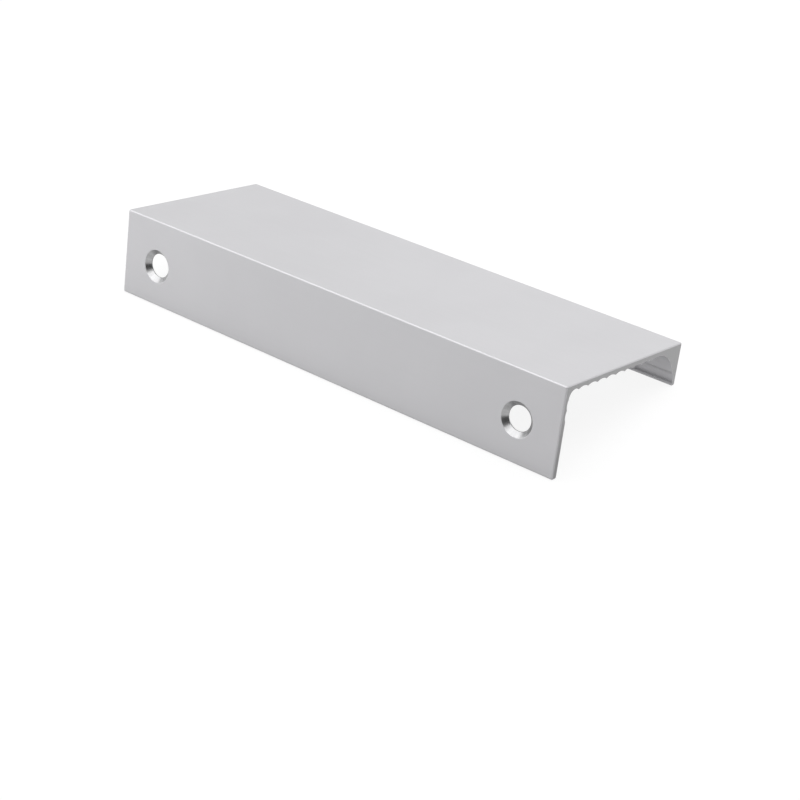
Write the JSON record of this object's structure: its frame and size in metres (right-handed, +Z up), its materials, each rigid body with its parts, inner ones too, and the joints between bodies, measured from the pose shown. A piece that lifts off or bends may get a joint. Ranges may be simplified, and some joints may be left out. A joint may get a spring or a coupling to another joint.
{
  "type": "edge pull",
  "caption": "Aluminium profile pull for the top edge of a door or drawer: flat screw flange with countersunk holes, fluted plate and hanging finger lip.",
  "frame": {"origin": "centre of the row of two screw holes, on the flange's inner face, which lies against the back of the door or drawer front", "axes": "+X along the door's top edge, +Y from the flange towards the finger lip, +Z up to the top plate"},
  "size_m": [0.12, 0.0407, 0.0194],
  "materials": {
    "anodised_profile": "satin natural anodised extrusion, bare bright metal in the countersinks"
  },
  "bodies": {
    "root": {"edge_pull": "anodised_profile"}
  },
  "joints": []
}
